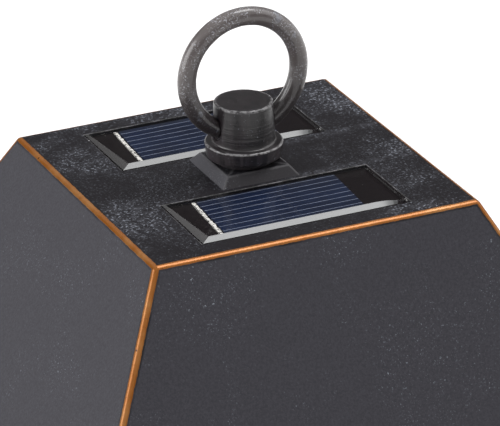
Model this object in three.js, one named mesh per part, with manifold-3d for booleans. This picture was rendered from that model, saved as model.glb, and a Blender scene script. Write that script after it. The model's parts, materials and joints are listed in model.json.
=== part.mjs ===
// Square solar lantern: a steep hipped roof with two solar panels and a hanging ring on its flat top,
// over a glazed body on four corner posts and a low base. Millimetres, +Z up, front towards -Y.
// The origin is on the floor, at the middle of the four feet.
import * as THREE from 'three';
import { mergeVertices } from 'three/addons/utils/BufferGeometryUtils.js';
import Module from 'manifold-3d';

const wasm = await Module();
wasm.setup();

// ---- driving dimensions -------------------------------------------------------------------------

const fitGap = 0.3; // clearance between pieces that fit into or beside each other
const over = 1; // how far a cutting tool runs past the face that it cuts

// stack of the body
const footHeight = 3;
const baseHeight = 12;
const bodyHeight = 115;
const bodySide = 118;
const baseStep = 4; // how far the base's top stands out past the body
const baseFlare = 4; // and how much further its foot does
const baseWall = 2.5;
const baseDeck = 3;

// roof
const plateSide = 100;
const eavesOverhang = 26; // past the body
const roofRise = 65.3;
const eavesBand = 7;
const roofLip = 4; // how far the roof's rim hangs below the roof floor
const roofWall = 2.4;
const plateThickness = 2.5;
const roofFloorThickness = 2.5;

// corner posts, side frames and panes
const postSide = 10;
const paneThickness = 3;
const frameThickness = 5;
const frameStile = 8;
const frameRail = 12;
const muntin = 4;
const upperLightHeight = 20;
const upperLights = 3;
const curbHeight = 4;
const curbWidth = 2;

// solar panels
const pocketEndMargin = 17.8; // from each pocket's ends to the plate's edges
const pocketSideMargin = 7.7;
const pocketPlinthGap = 1.25;
const pocketDepth = 3.4;
const pocketPan = 2;
const backingThickness = 2.6;
const cellLeftMargin = 8.9; // from the pocket's walls to the cell
const cellRightMargin = 12.3;
const cellFrontMargin = 3.6;
const cellRearMargin = 1.3;
const cellThickness = 0.4;
const ribbonWidth = 1.3;
const resinHeight = 1.8; // from the backing to the crown of the resin
const resinDrop = 1; // from the crown down to the foot of its sloping edges
const resinBevel = 1.8;

// ring post and ring
const plinthSide = 24.5;
const plinthTopSide = 19.5;
const plinthHeight = 3.05;
const neckRadius = 8.5;
const neckHeight = 1.45;
const flangeRadius = 11.35;
const flangeFootRadius = 10.7;
const flangeHeight = 4.5;
const flangeRound = 0.8;
const postRadius = 9.05;
const postTopRadius = 8.56;
const postHeight = 12;
const postChamfer = 0.7;
const studRadius = 2.5;
const washerRadius = 6;
const washerThickness = 1;
const nutRadius = 4.6;
const nutHeight = 4;
const ringRadius = 17.5; // to the middle of the bar
const ringBar = 5.5;
const ringSeatDepth = 0.65; // the flats that the ring's two ends stand against
const ringDrop = 9.2; // from the top of the post down to the bar's middle

// fasteners
const screwRadius = 1.5;
const screwHeadRadius = 2.8;
const screwHeadHeight = 1.6;
const screwLength = 11;
const roofBossRadius = 4;
const roofBossHeight = 16;
const roofBossInset = 12.5; // from the eaves to each boss

// battery and its door
const batteryRadius = 5.1;
const batteryLength = 43;
const doorSetback = 1.2; // from the body's rear face to the battery door
const holderWall = 1.5;
const springLength = 3.6;
const springWire = 0.7;
const contactThickness = 0.5;
const doorThickness = 2.2;
const hingePinRadius = 0.8;
const knuckleRadius = 1.5;

// switch
const switchSetback = 9; // from the body's front face to the switch's middle
const switchLength = 15;
const switchWidth = 7;
const switchHeight = 6.5;
const switchTravel = 3;
const sliderLength = 4;
const sliderWidth = 2.4;

// lamp and electronics
const diffuserRadius = 20;
const diffuserHeight = 26;
const diffuserWall = 1.8;
const diffuserFlange = 4;
const diffuserRound = 14;
const flangeThickness = 2;
const lampBoardRadius = 15;
const lampBoardThickness = 1.6;
const boardLength = 50;
const boardWidth = 26;
const boardThickness = 1.6;
const boardOffset = 18; // from the middle of the lantern, towards the front
const standoffHeight = 3.5;
const leadRadius = 0.8;

// feet
const footRadius = 7.5;
const footInset = 9; // from the middle of a corner post to the middle of the foot near it
const footPadRadius = 8.5;

// ---- places worked out from them ----------------------------------------------------------------

const baseBottom = footHeight;
const bodyBottom = baseBottom + baseHeight;
const bodyTop = bodyBottom + bodyHeight;
const baseTopSide = bodySide + 2 * baseStep;
const baseSide = baseTopSide + 2 * baseFlare;
const eavesSide = bodySide + 2 * eavesOverhang;
const roofFloorTop = bodyTop + roofFloorThickness;
const roofBottom = bodyTop - roofLip;
const slopeFoot = roofBottom + eavesBand;
const plateTop = slopeFoot + roofRise;

const slopeRun = (eavesSide - plateSide) / 2;
const slopeLength = Math.hypot(slopeRun, roofRise);
const wallAcross = roofWall * slopeLength / roofRise; // the sloping wall, measured level
const roofHalfAt = (z) => eavesSide / 2 - (Math.max(z, slopeFoot) - slopeFoot) * slopeRun / roofRise;

const postCentre = (bodySide - postSide) / 2;
const postInner = bodySide / 2 - postSide;
const curbOuter = postInner - fitGap;
const paneInner = curbOuter + fitGap;
const paneOuter = paneInner + paneThickness;
const frameInner = paneOuter + fitGap;
const frameOuter = frameInner + frameThickness;
const frameHalf = postInner - fitGap;

const plinthTop = plateTop + plinthHeight;
const flangeBottom = plinthTop + neckHeight;
const flangeTop = flangeBottom + flangeHeight;
const postTop = flangeTop + postHeight;
const ringLowZ = postTop - ringDrop;
const ringBarRadius = ringBar / 2;

const roofUnderside = plateTop - plateThickness;
const pocketFloor = plateTop - pocketDepth;
const backingTop = pocketFloor + backingThickness;
const pocketLength = plateSide - 2 * pocketEndMargin;
const pocketInner = plinthSide / 2 + pocketPlinthGap;
const pocketOuter = plateSide / 2 - pocketSideMargin;
const pocketWidth = pocketOuter - pocketInner;
const pocketOffset = (pocketInner + pocketOuter) / 2;
const corners = [
  ['front_left', -1, -1], ['front_right', 1, -1], ['rear_left', -1, 1], ['rear_right', 1, 1],
];
const sides = [['front', 0], ['right', Math.PI / 2], ['rear', Math.PI], ['left', -Math.PI / 2]];
const panels = [['front', -pocketOffset], ['rear', pocketOffset]];

// ---- solids -------------------------------------------------------------------------------------

function toSolid(geometry) {
  const plain = geometry.clone();
  plain.deleteAttribute('normal');
  plain.deleteAttribute('uv');
  const merged = mergeVertices(plain, 1e-4);
  return new wasm.Manifold(new wasm.Mesh({
    numProp: 3,
    vertProperties: new Float32Array(merged.attributes.position.array),
    triVerts: new Uint32Array(merged.index.array),
  }));
}

function toGeometry(solid) {
  const mesh = solid.getMesh();
  const geometry = new THREE.BufferGeometry();
  geometry.setAttribute('position', new THREE.BufferAttribute(mesh.vertProperties, 3));
  geometry.setIndex(new THREE.BufferAttribute(mesh.triVerts, 1));
  return geometry;
}

const joined = (...geometries) => toGeometry(geometries.map(toSolid).reduce((a, b) => a.add(b)));
const cut = (body, ...tools) => (
  toGeometry(tools.map(toSolid).reduce((a, b) => a.subtract(b), toSolid(body)))
);
const common = (a, b) => toGeometry(toSolid(a).intersect(toSolid(b)));

function block(x0, x1, y0, y1, z0, z1) {
  return new THREE.BoxGeometry(x1 - x0, y1 - y0, z1 - z0)
    .translate((x0 + x1) / 2, (y0 + y1) / 2, (z0 + z1) / 2);
}

const slab = (halfX, halfY, z0, z1) => block(-halfX, halfX, -halfY, halfY, z0, z1);

// a block whose top is narrower or wider than its bottom
function taperedSlab(bottomX, bottomY, topX, topY, z0, z1) {
  const geometry = slab(bottomX, bottomY, z0, z1);
  const position = geometry.attributes.position;
  for (let i = 0; i < position.count; i++) {
    if (position.getZ(i) > (z0 + z1) / 2) {
      position.setX(i, Math.sign(position.getX(i)) * topX);
      position.setY(i, Math.sign(position.getY(i)) * topY);
    }
  }
  return geometry;
}

function disc(radius, z0, z1, x = 0, y = 0, sidesRound = 24) {
  return new THREE.CylinderGeometry(radius, radius, z1 - z0, sidesRound)
    .rotateX(Math.PI / 2).translate(x, y, (z0 + z1) / 2);
}

function rodAlongX(radius, x0, x1, y, z, sidesRound = 16) {
  return new THREE.CylinderGeometry(radius, radius, x1 - x0, sidesRound)
    .rotateZ(Math.PI / 2).translate((x0 + x1) / 2, y, z);
}

// a profile of [radius, height] pairs turned about Z
function turned(profile, sidesRound = 28) {
  return new THREE.LatheGeometry(profile.map(([r, z]) => new THREE.Vector2(r, z)), sidesRound)
    .rotateX(Math.PI / 2);
}

function tubeAlong(points, radius, steps, sidesRound = 8) {
  const section = new THREE.Shape();
  section.absarc(0, 0, radius, 0, Math.PI * 2);
  const extrudePath = new THREE.CatmullRomCurve3(points.map((p) => new THREE.Vector3(...p)));
  const curveSegments = sidesRound / 2;
  return new THREE.ExtrudeGeometry(section, { steps, extrudePath, curveSegments, bevelEnabled: false });
}

const lantern = new THREE.Group();

function material(color, roughness, metalness = 0, opacity = 1) {
  return new THREE.MeshStandardMaterial({ color, roughness, metalness, opacity, transparent: opacity < 1 });
}

const finishes = {
  charcoal: () => material(0x2c2b2f, 0.6),
  plate: () => material(0x1f1e21, 0.5),
  steel: () => material(0xa8a9ab, 0.35, 0.9),
  rubber: () => material(0x161616, 0.85),
  glass: () => material(0xd9a860, 0.3, 0, 0.5),
  clear: () => material(0xcfd6de, 0.08, 0, 0.3),
  cell: () => material(0x1b2236, 0.3),
  black: () => material(0x121214, 0.5),
  tinned: () => material(0xc9c9cc, 0.3, 0.9),
  plastic: () => material(0x1c1c1e, 0.6),
  board: () => material(0x1f5a37, 0.5),
  lampWhite: () => material(0xf4efe2, 0.6),
  red: () => material(0x9c2320, 0.5),
};

function add(name, geometry, finish, parent = lantern) {
  const mesh = new THREE.Mesh(geometry, finishes[finish]());
  mesh.name = name;
  parent.add(mesh);
  return mesh;
}

// ---- roof ---------------------------------------------------------------------------------------

const bossCentre = eavesSide / 2 - roofBossInset;
const leadHoleX = -pocketLength / 2 + 5;

function roofShell() {
  const plateHalf = plateSide / 2;
  const plinthHalf = plinthSide / 2;
  const undersideHalf = roofHalfAt(roofUnderside) - wallAcross;
  const footHalf = eavesSide / 2 - wallAcross;
  const outside = joined(
    slab(eavesSide / 2, eavesSide / 2, roofBottom, slopeFoot),
    taperedSlab(eavesSide / 2, eavesSide / 2, plateHalf, plateHalf, slopeFoot, plateTop),
    taperedSlab(plinthHalf, plinthHalf, plinthTopSide / 2, plinthTopSide / 2, plateTop, plinthTop),
  );
  const inside = joined(
    slab(footHalf, footHalf, roofBottom - over, slopeFoot),
    taperedSlab(footHalf, footHalf, undersideHalf, undersideHalf, slopeFoot, roofUnderside),
  );
  const panelSlab = (y, grow, z0, z1) => (
    slab(pocketLength / 2 + grow, pocketWidth / 2 + grow, z0, z1).translate(0, y, 0)
  );
  const pans = panels.map(([, y]) => panelSlab(y, pocketPan, pocketFloor - pocketPan, roofUnderside));
  const pockets = panels.map(([, y]) => panelSlab(y, 0, pocketFloor, plateTop + over));
  const leadHoles = panels.map(([, y]) => disc(
    leadRadius + 2 * fitGap, pocketFloor - pocketPan - over, pocketFloor + over, leadHoleX, y, 16,
  ));
  // each boss is trimmed to the roof's outside, so that none breaks through the slope
  const bossTop = roofFloorTop + roofBossHeight;
  const bosses = corners.map(([, sx, sy]) => common(
    disc(roofBossRadius, roofFloorTop, bossTop, sx * bossCentre, sy * bossCentre), outside,
  ));
  const pilots = corners.map(([, sx, sy]) => disc(
    screwRadius + fitGap, roofFloorTop - over, bodyTop + screwLength + fitGap,
    sx * bossCentre, sy * bossCentre, 16,
  ));
  const shell = joined(cut(outside, inside), ...pans, ...bosses);
  const studHole = disc(studRadius + fitGap, roofUnderside - over, plinthTop + over, 0, 0, 16);
  return cut(shell, ...pockets, ...leadHoles, ...pilots, studHole);
}

add('roof_shell', roofShell(), 'charcoal');

// ---- solar panels -------------------------------------------------------------------------------

function addPanel(name, y) {
  const halfLength = pocketLength / 2 - fitGap;
  const halfWidth = pocketWidth / 2 - fitGap;
  const panel = new THREE.Group();
  panel.position.set(0, y, 0);
  lantern.add(panel);
  const backing = slab(halfLength, halfWidth, pocketFloor, backingTop);
  add(`panel_backing_${name}`, backing, 'black', panel);

  const cellLeft = -pocketLength / 2 + cellLeftMargin;
  const cellRight = pocketLength / 2 - cellRightMargin;
  const cellFront = -pocketWidth / 2 + cellFrontMargin;
  const cellRear = pocketWidth / 2 - cellRearMargin;
  const cellBox = (grow, top) => block(
    cellLeft - grow, cellRight + grow, cellFront - grow, cellRear + grow, backingTop, top,
  );
  const ribbonBox = (grow, top) => block(
    cellLeft - fitGap - ribbonWidth - grow, cellLeft - fitGap + grow,
    cellFront - grow, cellRear + grow, backingTop, top,
  );
  add(`solar_cell_${name}`, cellBox(0, backingTop + cellThickness), 'cell', panel);
  add(`cell_ribbon_${name}`, ribbonBox(0, backingTop + cellThickness), 'tinned', panel);

  // the resin's edges slope, and its underside is hollowed for the cell and the ribbon
  const crown = backingTop + resinHeight;
  const shoulder = crown - resinDrop;
  const dome = joined(
    slab(halfLength, halfWidth, backingTop, shoulder),
    taperedSlab(halfLength, halfWidth, halfLength - resinBevel, halfWidth - resinBevel, shoulder, crown),
  );
  const hollowTop = backingTop + cellThickness + fitGap;
  const hollow = joined(cellBox(fitGap, hollowTop), ribbonBox(fitGap, hollowTop)).translate(0, 0, -over / 10);
  add(`cell_resin_${name}`, cut(dome, hollow), 'clear', panel);
}

panels.forEach(([name, y]) => addPanel(name, y));

// ---- ring post, its washer and nut, and the ring ------------------------------------------------

// The ring's two ends turn in on one line and meet inside the post, so the ring swings on that pin.
const ringSeat = postRadius - ringSeatDepth;
const ringMouth = ringSeat + fitGap;
const ringPinZ = ringLowZ + ringRadius - Math.sqrt(ringRadius ** 2 - ringMouth ** 2);
const ringPinRadius = ringBarRadius - 0.35;
const ringHole = rodAlongX(ringPinRadius + fitGap, -ringMouth - over, ringMouth + over, 0, ringPinZ, 24);
const ringInnerRise = Math.sqrt((ringRadius - ringBarRadius) ** 2 - postRadius ** 2);
const ringSeatRadius = ringLowZ + ringRadius - ringInnerRise - ringPinZ + fitGap;
const ringSeats = [[-postRadius - over, -ringSeat], [ringSeat, postRadius + over]].map(([x0, x1]) => (
  rodAlongX(ringSeatRadius, x0, x1, 0, ringPinZ, 24)
));

const studEnd = roofUnderside - washerThickness - nutHeight - 2;
const ringPost = turned([
  [0, studEnd], [studRadius - 0.5, studEnd], [studRadius, studEnd + 0.5], [studRadius, plinthTop],
  [neckRadius, plinthTop], [neckRadius, flangeBottom],
  [flangeFootRadius - flangeRound, flangeBottom], [flangeFootRadius, flangeBottom + flangeRound],
  [flangeRadius, flangeTop - 2 * flangeRound], [flangeRadius, flangeTop - flangeRound],
  [flangeRadius - flangeRound, flangeTop],
  [postRadius + 0.4, flangeTop], [postRadius, flangeTop + 0.4],
  [postTopRadius, postTop - postChamfer], [postTopRadius - postChamfer, postTop], [0, postTop],
]);
add('ring_post', cut(ringPost, ringHole, ...ringSeats), 'charcoal');

const washer = cut(
  disc(washerRadius, roofUnderside - washerThickness, roofUnderside),
  disc(studRadius + fitGap, roofUnderside - washerThickness - over, roofUnderside + over, 0, 0, 16),
);
add('post_washer', washer, 'steel');
const nutTop = roofUnderside - washerThickness;
const nut = cut(
  disc(nutRadius, nutTop - nutHeight, nutTop, 0, 0, 6),
  disc(studRadius + fitGap, nutTop - nutHeight - over, nutTop + over, 0, 0, 16),
);
add('post_nut', nut, 'steel');

const ringCircle = new THREE.TorusGeometry(ringRadius, ringBarRadius, 16, 48).rotateX(Math.PI / 2);
const ringAtPost = block(-ringMouth, ringMouth, -postRadius, postRadius, -ringRadius - postRadius, 0);
const ringPin = rodAlongX(
  ringPinRadius, -ringMouth - 1, ringMouth + 1, 0, ringPinZ - ringLowZ - ringRadius, 24,
);
const ring = joined(cut(ringCircle, ringAtPost), ringPin);
add('hanging_ring', ring, 'charcoal').position.set(0, 0, ringLowZ + ringRadius);

// ---- fasteners ----------------------------------------------------------------------------------

// a pan-head screw pointing up, its head's seat at z = 0
const screw = turned([
  [0, 0.8 - screwHeadHeight], [0.9, -screwHeadHeight], [screwHeadRadius - 0.8, -screwHeadHeight],
  [screwHeadRadius, 0.7 - screwHeadHeight], [screwHeadRadius, 0], [screwRadius, 0],
  [screwRadius, screwLength - 1.5], [0, screwLength],
], 12);

function addScrews(name, offset, z, pointsDown) {
  corners.forEach(([corner, sx, sy]) => {
    const mesh = add(`${name}_${corner}`, screw, 'steel');
    mesh.position.set(sx * offset, sy * offset, z);
    if (pointsDown) mesh.rotation.x = Math.PI;
  });
}

addScrews('roof_screw', bossCentre, bodyTop, false);
addScrews('post_screw', postCentre, roofFloorTop, true);
addScrews('base_screw', postCentre, bodyBottom - baseDeck, false);

// ---- battery, holder and contacts ---------------------------------------------------------------

const trayHalfY = batteryRadius + fitGap + 0.1;
const batteryOffset = bodySide / 2 + doorSetback + trayHalfY; // from the lantern's middle to the battery's
const batteryBottom = roofFloorTop + fitGap;
const batteryZ = batteryBottom + batteryRadius;
const nubLength = 0.8;
const trayHalfX = (batteryLength + springLength + nubLength + contactThickness + 5 * fitGap) / 2;
const trayTop = batteryZ + batteryRadius + fitGap + 0.2;

const trayBlock = (grow, z0, z1) => (
  slab(trayHalfX + grow, trayHalfY + grow, z0, z1).translate(0, batteryOffset, 0)
);
const holder = cut(
  trayBlock(holderWall, roofFloorTop, trayTop + holderWall), trayBlock(0, roofFloorTop - over, trayTop),
);
add('battery_holder', holder, 'plastic');

const contactHalf = batteryRadius - 0.6;
const springStart = -trayHalfX + fitGap;
const springEnd = springStart + springLength;
const batteryStart = springEnd + fitGap;
const batteryEnd = batteryStart + batteryLength;
const battery = joined(
  rodAlongX(batteryRadius, batteryStart, batteryEnd, batteryOffset, batteryZ, 24),
  rodAlongX(1.9, batteryEnd - over, batteryEnd + nubLength, batteryOffset, batteryZ, 12),
);
add('battery_cell', battery, 'lampWhite');

const springTurns = 3;
const springRadius = 3.2;
const springPoints = [];
for (let i = 0; i <= 12 * springTurns; i++) {
  const angle = Math.PI * 2 * i / 12;
  const along = springWire / 2 + (springLength - springWire) * i / (12 * springTurns);
  springPoints.push([springStart + along, batteryOffset + springRadius * Math.cos(angle),
    batteryZ + springRadius * Math.sin(angle)]);
}
add('battery_spring', tubeAlong(springPoints, springWire / 2 * 0.9, 40, 6), 'tinned');

const contact = block(trayHalfX - fitGap - contactThickness, trayHalfX - fitGap,
  batteryOffset - contactHalf, batteryOffset + contactHalf, batteryZ - contactHalf, batteryZ + contactHalf);
add('battery_contact', contact, 'tinned');

// ---- battery door -------------------------------------------------------------------------------

const doorHalfX = trayHalfX + 0.4;
const doorFront = batteryOffset - trayHalfY;
const doorBack = batteryOffset + trayHalfY;
const hingeY = doorBack + 1.2;
const hingeZ = bodyTop - knuckleRadius - fitGap;
const earWidth = 2.6;
const earSpots = [-doorHalfX + earWidth, 0, doorHalfX - earWidth];
const knuckleLength = 10;
const knuckleSpots = [-doorHalfX / 2, doorHalfX / 2];

const doorLeaf = block(-doorHalfX, doorHalfX, doorFront, doorBack, bodyTop, bodyTop + doorThickness);
const thumbTab = block(-5, 5, doorFront + 0.4, doorFront + 2, bodyTop - 1, bodyTop + over);
const knuckleEnds = knuckleSpots.map((x) => [x - knuckleLength / 2, x + knuckleLength / 2]);
const knuckles = knuckleEnds.flatMap(([x0, x1]) => [
  rodAlongX(knuckleRadius, x0, x1, hingeY, hingeZ),
  block(x0, x1, hingeY - 2.8, hingeY - 1.05, hingeZ - 1, bodyTop + over / 2),
]);
const pinHole = rodAlongX(hingePinRadius + fitGap, -doorHalfX - over, doorHalfX + over, hingeY, hingeZ);
add('battery_door', cut(joined(doorLeaf, thumbTab, ...knuckles), pinHole), 'plastic');
add('door_pin', rodAlongX(hingePinRadius, -doorHalfX + 0.6, doorHalfX - 0.6, hingeY, hingeZ, 12), 'steel');

// ---- roof floor ---------------------------------------------------------------------------------

const lampHoleX = 9;
const switchOffset = bodySide / 2 + switchSetback;
const boardHalfX = boardLength / 2;
const boardHalfY = boardWidth / 2;
const sliderHalfX = sliderLength / 2;
const slotHalfX = sliderHalfX + switchTravel / 2 + fitGap;
const slotHalfY = sliderWidth / 2 + fitGap;

function roofFloor() {
  const half = eavesSide / 2 - wallAcross - fitGap;
  const curb = cut(
    slab(curbOuter, curbOuter, bodyTop - curbHeight, bodyTop + over),
    slab(curbOuter - curbWidth, curbOuter - curbWidth, bodyTop - curbHeight - over, bodyTop + 2 * over),
  );
  const rails = [-1, 1].map((side) => block(
    -boardHalfX, boardHalfX, side * (boardHalfY - 1.5) - 1.5 - boardOffset,
    side * (boardHalfY - 1.5) + 1.5 - boardOffset, roofFloorTop - over, roofFloorTop + standoffHeight,
  ));
  const ears = earSpots.map((x) => block(
    x - earWidth / 2, x + earWidth / 2, hingeY - 1.1, hingeY + 1.5, hingeZ - 1.4, bodyTop + over,
  ));
  const throughHole = (radius, x, y) => disc(radius, bodyTop - over, roofFloorTop + over, x, y, 16);
  const screwHoles = corners.flatMap(([, sx, sy]) => [
    throughHole(screwRadius + fitGap, sx * bossCentre, sy * bossCentre),
    throughHole(screwRadius + fitGap, sx * postCentre, sy * postCentre),
  ]);
  return cut(
    joined(slab(half, half, bodyTop, roofFloorTop), curb, ...rails, ...ears),
    block(-doorHalfX - fitGap, doorHalfX + fitGap, doorFront - fitGap, doorBack + fitGap,
      bodyTop - over / 10, roofFloorTop + over),
    block(-slotHalfX, slotHalfX, -switchOffset - slotHalfY, -switchOffset + slotHalfY,
      bodyTop - over, roofFloorTop + over),
    pinHole,
    throughHole(leadRadius + 2 * fitGap, lampHoleX, 0),
    ...screwHoles,
  );
}

add('roof_floor', roofFloor(), 'charcoal');

// ---- switch -------------------------------------------------------------------------------------

const switchHalfX = switchLength / 2;
const switchHalfY = switchWidth / 2;
const shoeHeight = 1.5;
const shoeHalfX = sliderHalfX + 1.5;
const shoeHalfY = slotHalfY + 0.4;
const sliderDrop = 1.8; // how far the knob stands out below the roof floor
const switchBlock = (x, halfX, halfY, z0, z1) => slab(halfX, halfY, z0, z1).translate(x, -switchOffset, 0);
const switchBody = cut(
  switchBlock(0, switchHalfX, switchHalfY, roofFloorTop, roofFloorTop + switchHeight),
  switchBlock(0, shoeHalfX + switchTravel / 2 + fitGap, shoeHalfY + fitGap,
    roofFloorTop - over, roofFloorTop + shoeHeight + 2 * fitGap),
);
add('switch_body', switchBody, 'plastic');

const sliderX = -switchTravel / 2; // at rest the slider is at the left end of its slot
const slider = joined(
  switchBlock(sliderX, sliderHalfX, sliderWidth / 2, bodyTop - sliderDrop, roofFloorTop + shoeHeight),
  switchBlock(sliderX, shoeHalfX, shoeHalfY, roofFloorTop + fitGap, roofFloorTop + fitGap + shoeHeight),
);
add('switch_slider', slider, 'plastic');

// ---- lamp ---------------------------------------------------------------------------------------

// the round bottom of a cup, from its middle out to its wall
function cupCurve(radius, bottom, height) {
  const steps = 7;
  return Array.from({ length: steps + 1 }, (_, i) => {
    const angle = Math.PI / 2 * i / steps;
    return [i === 0 ? 0 : radius * Math.sin(angle), bottom + height * (1 - Math.cos(angle))];
  });
}

function diffuser() {
  const bottom = bodyTop - diffuserHeight;
  const outer = cupCurve(diffuserRadius, bottom, diffuserRound);
  const inner = cupCurve(diffuserRadius - diffuserWall, bottom + diffuserWall, diffuserRound - diffuserWall);
  const rim = diffuserRadius + diffuserFlange;
  return turned([
    ...outer, [diffuserRadius, bodyTop - flangeThickness], [rim, bodyTop - flangeThickness], [rim, bodyTop],
    [diffuserRadius - diffuserWall, bodyTop], ...inner.reverse(),
  ], 28);
}

add('lamp_diffuser', diffuser(), 'lampWhite');
const lampBoardBottom = bodyTop - lampBoardThickness;
add('lamp_board', disc(lampBoardRadius, lampBoardBottom, bodyTop), 'lampWhite');
const emitter = turned([
  [0, lampBoardBottom - 2.9], [1.4, lampBoardBottom - 2.5], [2.2, lampBoardBottom - 1.6],
  [2.5, lampBoardBottom - 0.8], [3.2, lampBoardBottom - 0.8], [3.2, lampBoardBottom], [0, lampBoardBottom],
], 16);
add('lamp_emitter', emitter, 'clear');

// ---- circuit board and leads --------------------------------------------------------------------

const boardBottom = roofFloorTop + standoffHeight;
const boardTop = boardBottom + boardThickness;
const board = slab(boardHalfX, boardHalfY, boardBottom, boardTop).translate(0, -boardOffset, 0);
add('circuit_board', board, 'board');

const leadEnd = boardTop + fitGap;
panels.forEach(([name, y], i) => {
  const landing = [-boardHalfX + 6 + 8 * i, -boardOffset - 4 + 8 * i];
  const points = [
    [leadHoleX, y, pocketFloor - fitGap], [leadHoleX, y, pocketFloor - 8],
    [leadHoleX - 2, y * 0.8, plateTop - 28], [landing[0] - 3, landing[1] + y * 0.1, boardTop + 14],
    [...landing, boardTop + 5], [...landing, leadEnd],
  ];
  add(`panel_lead_${name}`, tubeAlong(points, leadRadius, 22), 'red');
});

const batteryLeadY = batteryOffset - trayHalfY - holderWall - fitGap - leadRadius;
const batteryLead = [
  [-20, batteryLeadY, batteryZ + 1], [-19, batteryLeadY - 6, batteryZ + 4],
  [-17, batteryLeadY / 2, batteryZ + 6],
  [-14, 8, boardTop + 9], [-12, -boardOffset + 10, boardTop + 6], [-12, -boardOffset + 9, leadEnd],
];
add('battery_lead', tubeAlong(batteryLead, leadRadius, 22), 'red');

const lampLead = [
  [18, -boardOffset + 6, leadEnd], [18, -boardOffset + 6, boardTop + 4], [15, -6, boardTop + 7],
  [lampHoleX, 0, boardTop + 4], [lampHoleX, 0, roofFloorTop], [lampHoleX, 0, bodyTop + fitGap],
];
add('lamp_lead', tubeAlong(lampLead, leadRadius, 22), 'red');

// ---- body: corner posts, side frames and panes --------------------------------------------------

corners.forEach(([corner, sx, sy]) => {
  const centre = [sx * postCentre, sy * postCentre];
  const post = cut(
    slab(postSide / 2, postSide / 2, bodyBottom, bodyTop).translate(...centre, 0),
    disc(screwRadius + fitGap, bodyTop - screwLength, bodyTop + over, ...centre, 16),
    disc(screwRadius + fitGap, bodyBottom - over, bodyBottom + screwLength, ...centre, 16),
  );
  add(`corner_post_${corner}`, post, 'charcoal');
});

const railBottom = bodyBottom + frameRail;
const railTop = bodyTop - frameRail;
const muntinTop = railTop - upperLightHeight;
const muntinBottom = muntinTop - muntin;
const lightHalf = frameHalf - frameStile;
const upperLightWidth = (2 * lightHalf - (upperLights - 1) * muntin) / upperLights;

// the frame of one side, facing -Y: a wide lower light under a row of small ones
function sideFrame() {
  const light = (x0, x1, z0, z1) => block(x0, x1, -frameOuter - over, -frameInner + over, z0, z1);
  const upperRow = Array.from({ length: upperLights }, (_, i) => {
    const x = -lightHalf + i * (upperLightWidth + muntin);
    return light(x, x + upperLightWidth, muntinTop, railTop);
  });
  const whole = block(-frameHalf, frameHalf, -frameOuter, -frameInner, bodyBottom, bodyTop);
  return cut(whole, light(-lightHalf, lightHalf, railBottom, muntinBottom), ...upperRow);
}

// quarter turns are made by swapping coordinates, so every face stays exactly level or upright
function quarterTurned(geometry, angle) {
  const [c, s] = [Math.round(Math.cos(angle)), Math.round(Math.sin(angle))];
  const turn = new THREE.Matrix4().set(c, -s, 0, 0, s, c, 0, 0, 0, 0, 1, 0, 0, 0, 0, 1);
  return geometry.clone().applyMatrix4(turn);
}

const pane = block(-frameHalf, frameHalf, -paneOuter, -paneInner, bodyBottom, bodyTop - fitGap);
sides.forEach(([side, angle]) => {
  add(`side_frame_${side}`, quarterTurned(sideFrame(), angle), 'charcoal');
  add(`glass_pane_${side}`, quarterTurned(pane, angle), 'glass');
});

// ---- base and feet ------------------------------------------------------------------------------

const footCentre = postCentre - footInset;

function basePan() {
  const deckUnderside = bodyBottom - baseDeck;
  const wallHalf = baseTopSide / 2 - baseWall; // the hollow is straight, so the wall thickens downwards
  const [footHalf, topHalf] = [baseSide / 2, baseTopSide / 2];
  const outside = taperedSlab(footHalf, footHalf, topHalf, topHalf, baseBottom, bodyBottom);
  const curb = cut(
    slab(curbOuter, curbOuter, bodyBottom - over, bodyBottom + curbHeight),
    slab(curbOuter - curbWidth, curbOuter - curbWidth, bodyBottom - 2 * over, bodyBottom + curbHeight + over),
  );
  const pads = corners.map(([, sx, sy]) => disc(
    footPadRadius, baseBottom, deckUnderside + over, sx * footCentre, sy * footCentre,
  ));
  const screwHoles = corners.map(([, sx, sy]) => disc(
    screwRadius + fitGap, deckUnderside - over, bodyBottom + over, sx * postCentre, sy * postCentre, 16,
  ));
  return cut(
    joined(cut(outside, slab(wallHalf, wallHalf, baseBottom - over, deckUnderside)), curb, ...pads),
    ...screwHoles,
  );
}

add('base_pan', basePan(), 'charcoal');
corners.forEach(([corner, sx, sy]) => {
  const foot = turned([
    [0, 0], [footRadius - 1, 0], [footRadius, 1], [footRadius, footHeight], [0, footHeight],
  ], 20);
  add(`foot_${corner}`, foot, 'rubber').position.set(sx * footCentre, sy * footCentre, 0);
});

export default lantern;
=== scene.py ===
import json
import math

import bmesh
import bpy
from mathutils import Matrix, Vector


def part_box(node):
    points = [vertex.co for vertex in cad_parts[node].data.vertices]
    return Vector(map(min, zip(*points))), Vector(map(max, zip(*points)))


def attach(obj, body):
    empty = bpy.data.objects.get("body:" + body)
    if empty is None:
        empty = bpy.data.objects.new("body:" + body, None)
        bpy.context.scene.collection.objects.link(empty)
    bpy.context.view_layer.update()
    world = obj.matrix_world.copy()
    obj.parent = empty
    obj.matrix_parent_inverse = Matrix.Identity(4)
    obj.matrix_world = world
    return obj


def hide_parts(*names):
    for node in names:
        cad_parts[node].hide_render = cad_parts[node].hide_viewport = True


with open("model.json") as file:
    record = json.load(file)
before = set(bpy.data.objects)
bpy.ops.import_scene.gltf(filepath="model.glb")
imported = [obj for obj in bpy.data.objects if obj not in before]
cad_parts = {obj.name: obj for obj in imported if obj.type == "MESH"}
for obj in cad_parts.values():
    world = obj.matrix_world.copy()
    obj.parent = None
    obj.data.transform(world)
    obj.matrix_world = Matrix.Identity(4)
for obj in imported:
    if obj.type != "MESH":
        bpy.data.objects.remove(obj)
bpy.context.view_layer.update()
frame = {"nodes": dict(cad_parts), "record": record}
mm = 0.001
near = 0.02 * mm  # two places closer than this are the same place
tiny = 0.001 * mm  # corners closer than this are merged
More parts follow.
